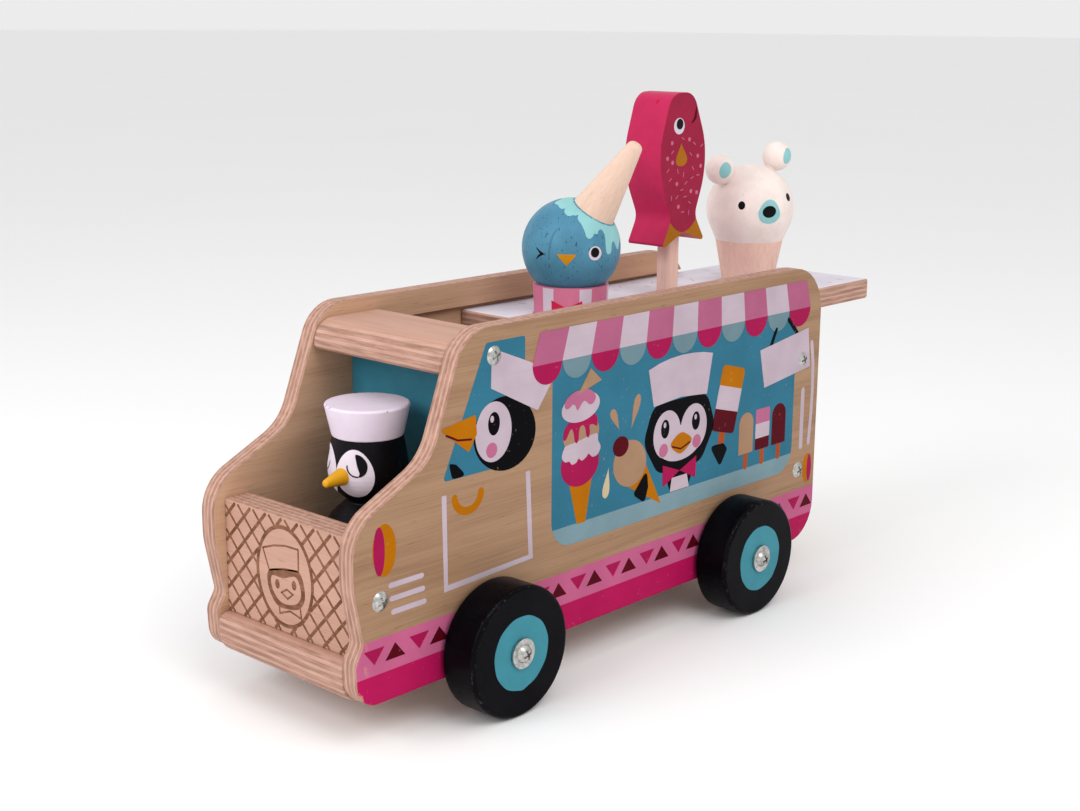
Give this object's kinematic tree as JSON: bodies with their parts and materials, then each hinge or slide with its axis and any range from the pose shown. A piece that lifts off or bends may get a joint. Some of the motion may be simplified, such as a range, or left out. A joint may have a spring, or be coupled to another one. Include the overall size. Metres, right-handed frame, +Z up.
{
  "type": "wooden toy ice cream truck",
  "caption": "Plywood push-along toy ice cream truck with rolling wheels, a sliding tray of lift-out ice cream figures and a penguin driver.",
  "frame": {"origin": "middle of the whole toy's length and width, on the floor under the wheels", "axes": "+X to the nose, +Y to the truck's left, +Z up"},
  "size_m": [0.388, 0.1514, 0.2627],
  "materials": {
    "birch_face": "satin",
    "ply_board": "satin",
    "front_face": "satin",
    "cab_paint": "satin paint",
    "wheel_paint": "gloss paint",
    "steel": "zinc plated",
    "tray_print": "satin print",
    "black_paint": "satin paint",
    "white_paint": "satin paint",
    "yellow_paint": "gloss paint",
    "cup_paint": "satin paint",
    "blue_paint": "satin paint",
    "bare_wood": "bare",
    "fish_paint": "satin paint",
    "bear_paint": "satin paint"
  },
  "bodies": {
    "truck": {"left_wall": "birch_face", "right_wall": "birch_face", "floor_board": "ply_board", "front_panel": "front_face", "roof_block": "ply_board", "cab_partition": "cab_paint", "rear_panel": "birch_face", "left_wall_screws": "steel", "right_wall_screws": "steel", "washer_front_left": "steel", "washer_front_right": "steel", "washer_rear_left": "steel", "washer_rear_right": "steel", "axle_screw_front_left": "steel", "axle_screw_front_right": "steel", "axle_screw_rear_left": "steel", "axle_screw_rear_right": "steel", "driver_body": "black_paint", "driver_hat": "white_paint", "driver_beak": "yellow_paint"},
    "wheel_front_left": {"wheel_front_left": "wheel_paint"},
    "wheel_front_right": {"wheel_front_right": "wheel_paint"},
    "wheel_rear_left": {"wheel_rear_left": "wheel_paint"},
    "wheel_rear_right": {"wheel_rear_right": "wheel_paint"},
    "tray": {"tray": "tray_print"},
    "bird_ice_cream": {"bird_cup": "cup_paint", "bird_ball": "blue_paint", "bird_cone_hat": "bare_wood"},
    "fish_lolly": {"fish_body": "fish_paint", "fish_stick": "bare_wood"},
    "bear_ice_cream": {"bear_cup": "bare_wood", "bear_head": "bear_paint", "bear_ear_left": "bear_paint", "bear_ear_right": "bear_paint"}
  },
  "joints": [
    {"name": "wheel_front_left_spin", "type": "hinge", "parent": "truck", "child": "wheel_front_left", "pos_m": [0.1168, 0.062, 0.03], "axis": [0, 1, 0], "continuous": true},
    {"name": "wheel_front_right_spin", "type": "hinge", "parent": "truck", "child": "wheel_front_right", "pos_m": [0.1168, -0.062, 0.03], "axis": [0, 1, 0], "continuous": true},
    {"name": "wheel_rear_left_spin", "type": "hinge", "parent": "truck", "child": "wheel_rear_left", "pos_m": [-0.0609, 0.062, 0.03], "axis": [0, 1, 0], "continuous": true},
    {"name": "wheel_rear_right_spin", "type": "hinge", "parent": "truck", "child": "wheel_rear_right", "pos_m": [-0.0609, -0.062, 0.03], "axis": [0, 1, 0], "continuous": true},
    {"name": "tray_slide", "type": "slide", "parent": "truck", "child": "tray", "axis": [1, 0, 0], "range_m": [-0.12, 0.0577]},
    {"name": "bird_ice_cream_lift", "type": "slide", "parent": "tray", "child": "bird_ice_cream", "axis": [0, 0, 1], "range_m": [0, 0.08]},
    {"name": "fish_lolly_lift", "type": "slide", "parent": "tray", "child": "fish_lolly", "axis": [0, 0, 1], "range_m": [0, 0.08]},
    {"name": "bear_ice_cream_lift", "type": "slide", "parent": "tray", "child": "bear_ice_cream", "axis": [0, 0, 1], "range_m": [0, 0.08]}
  ]
}
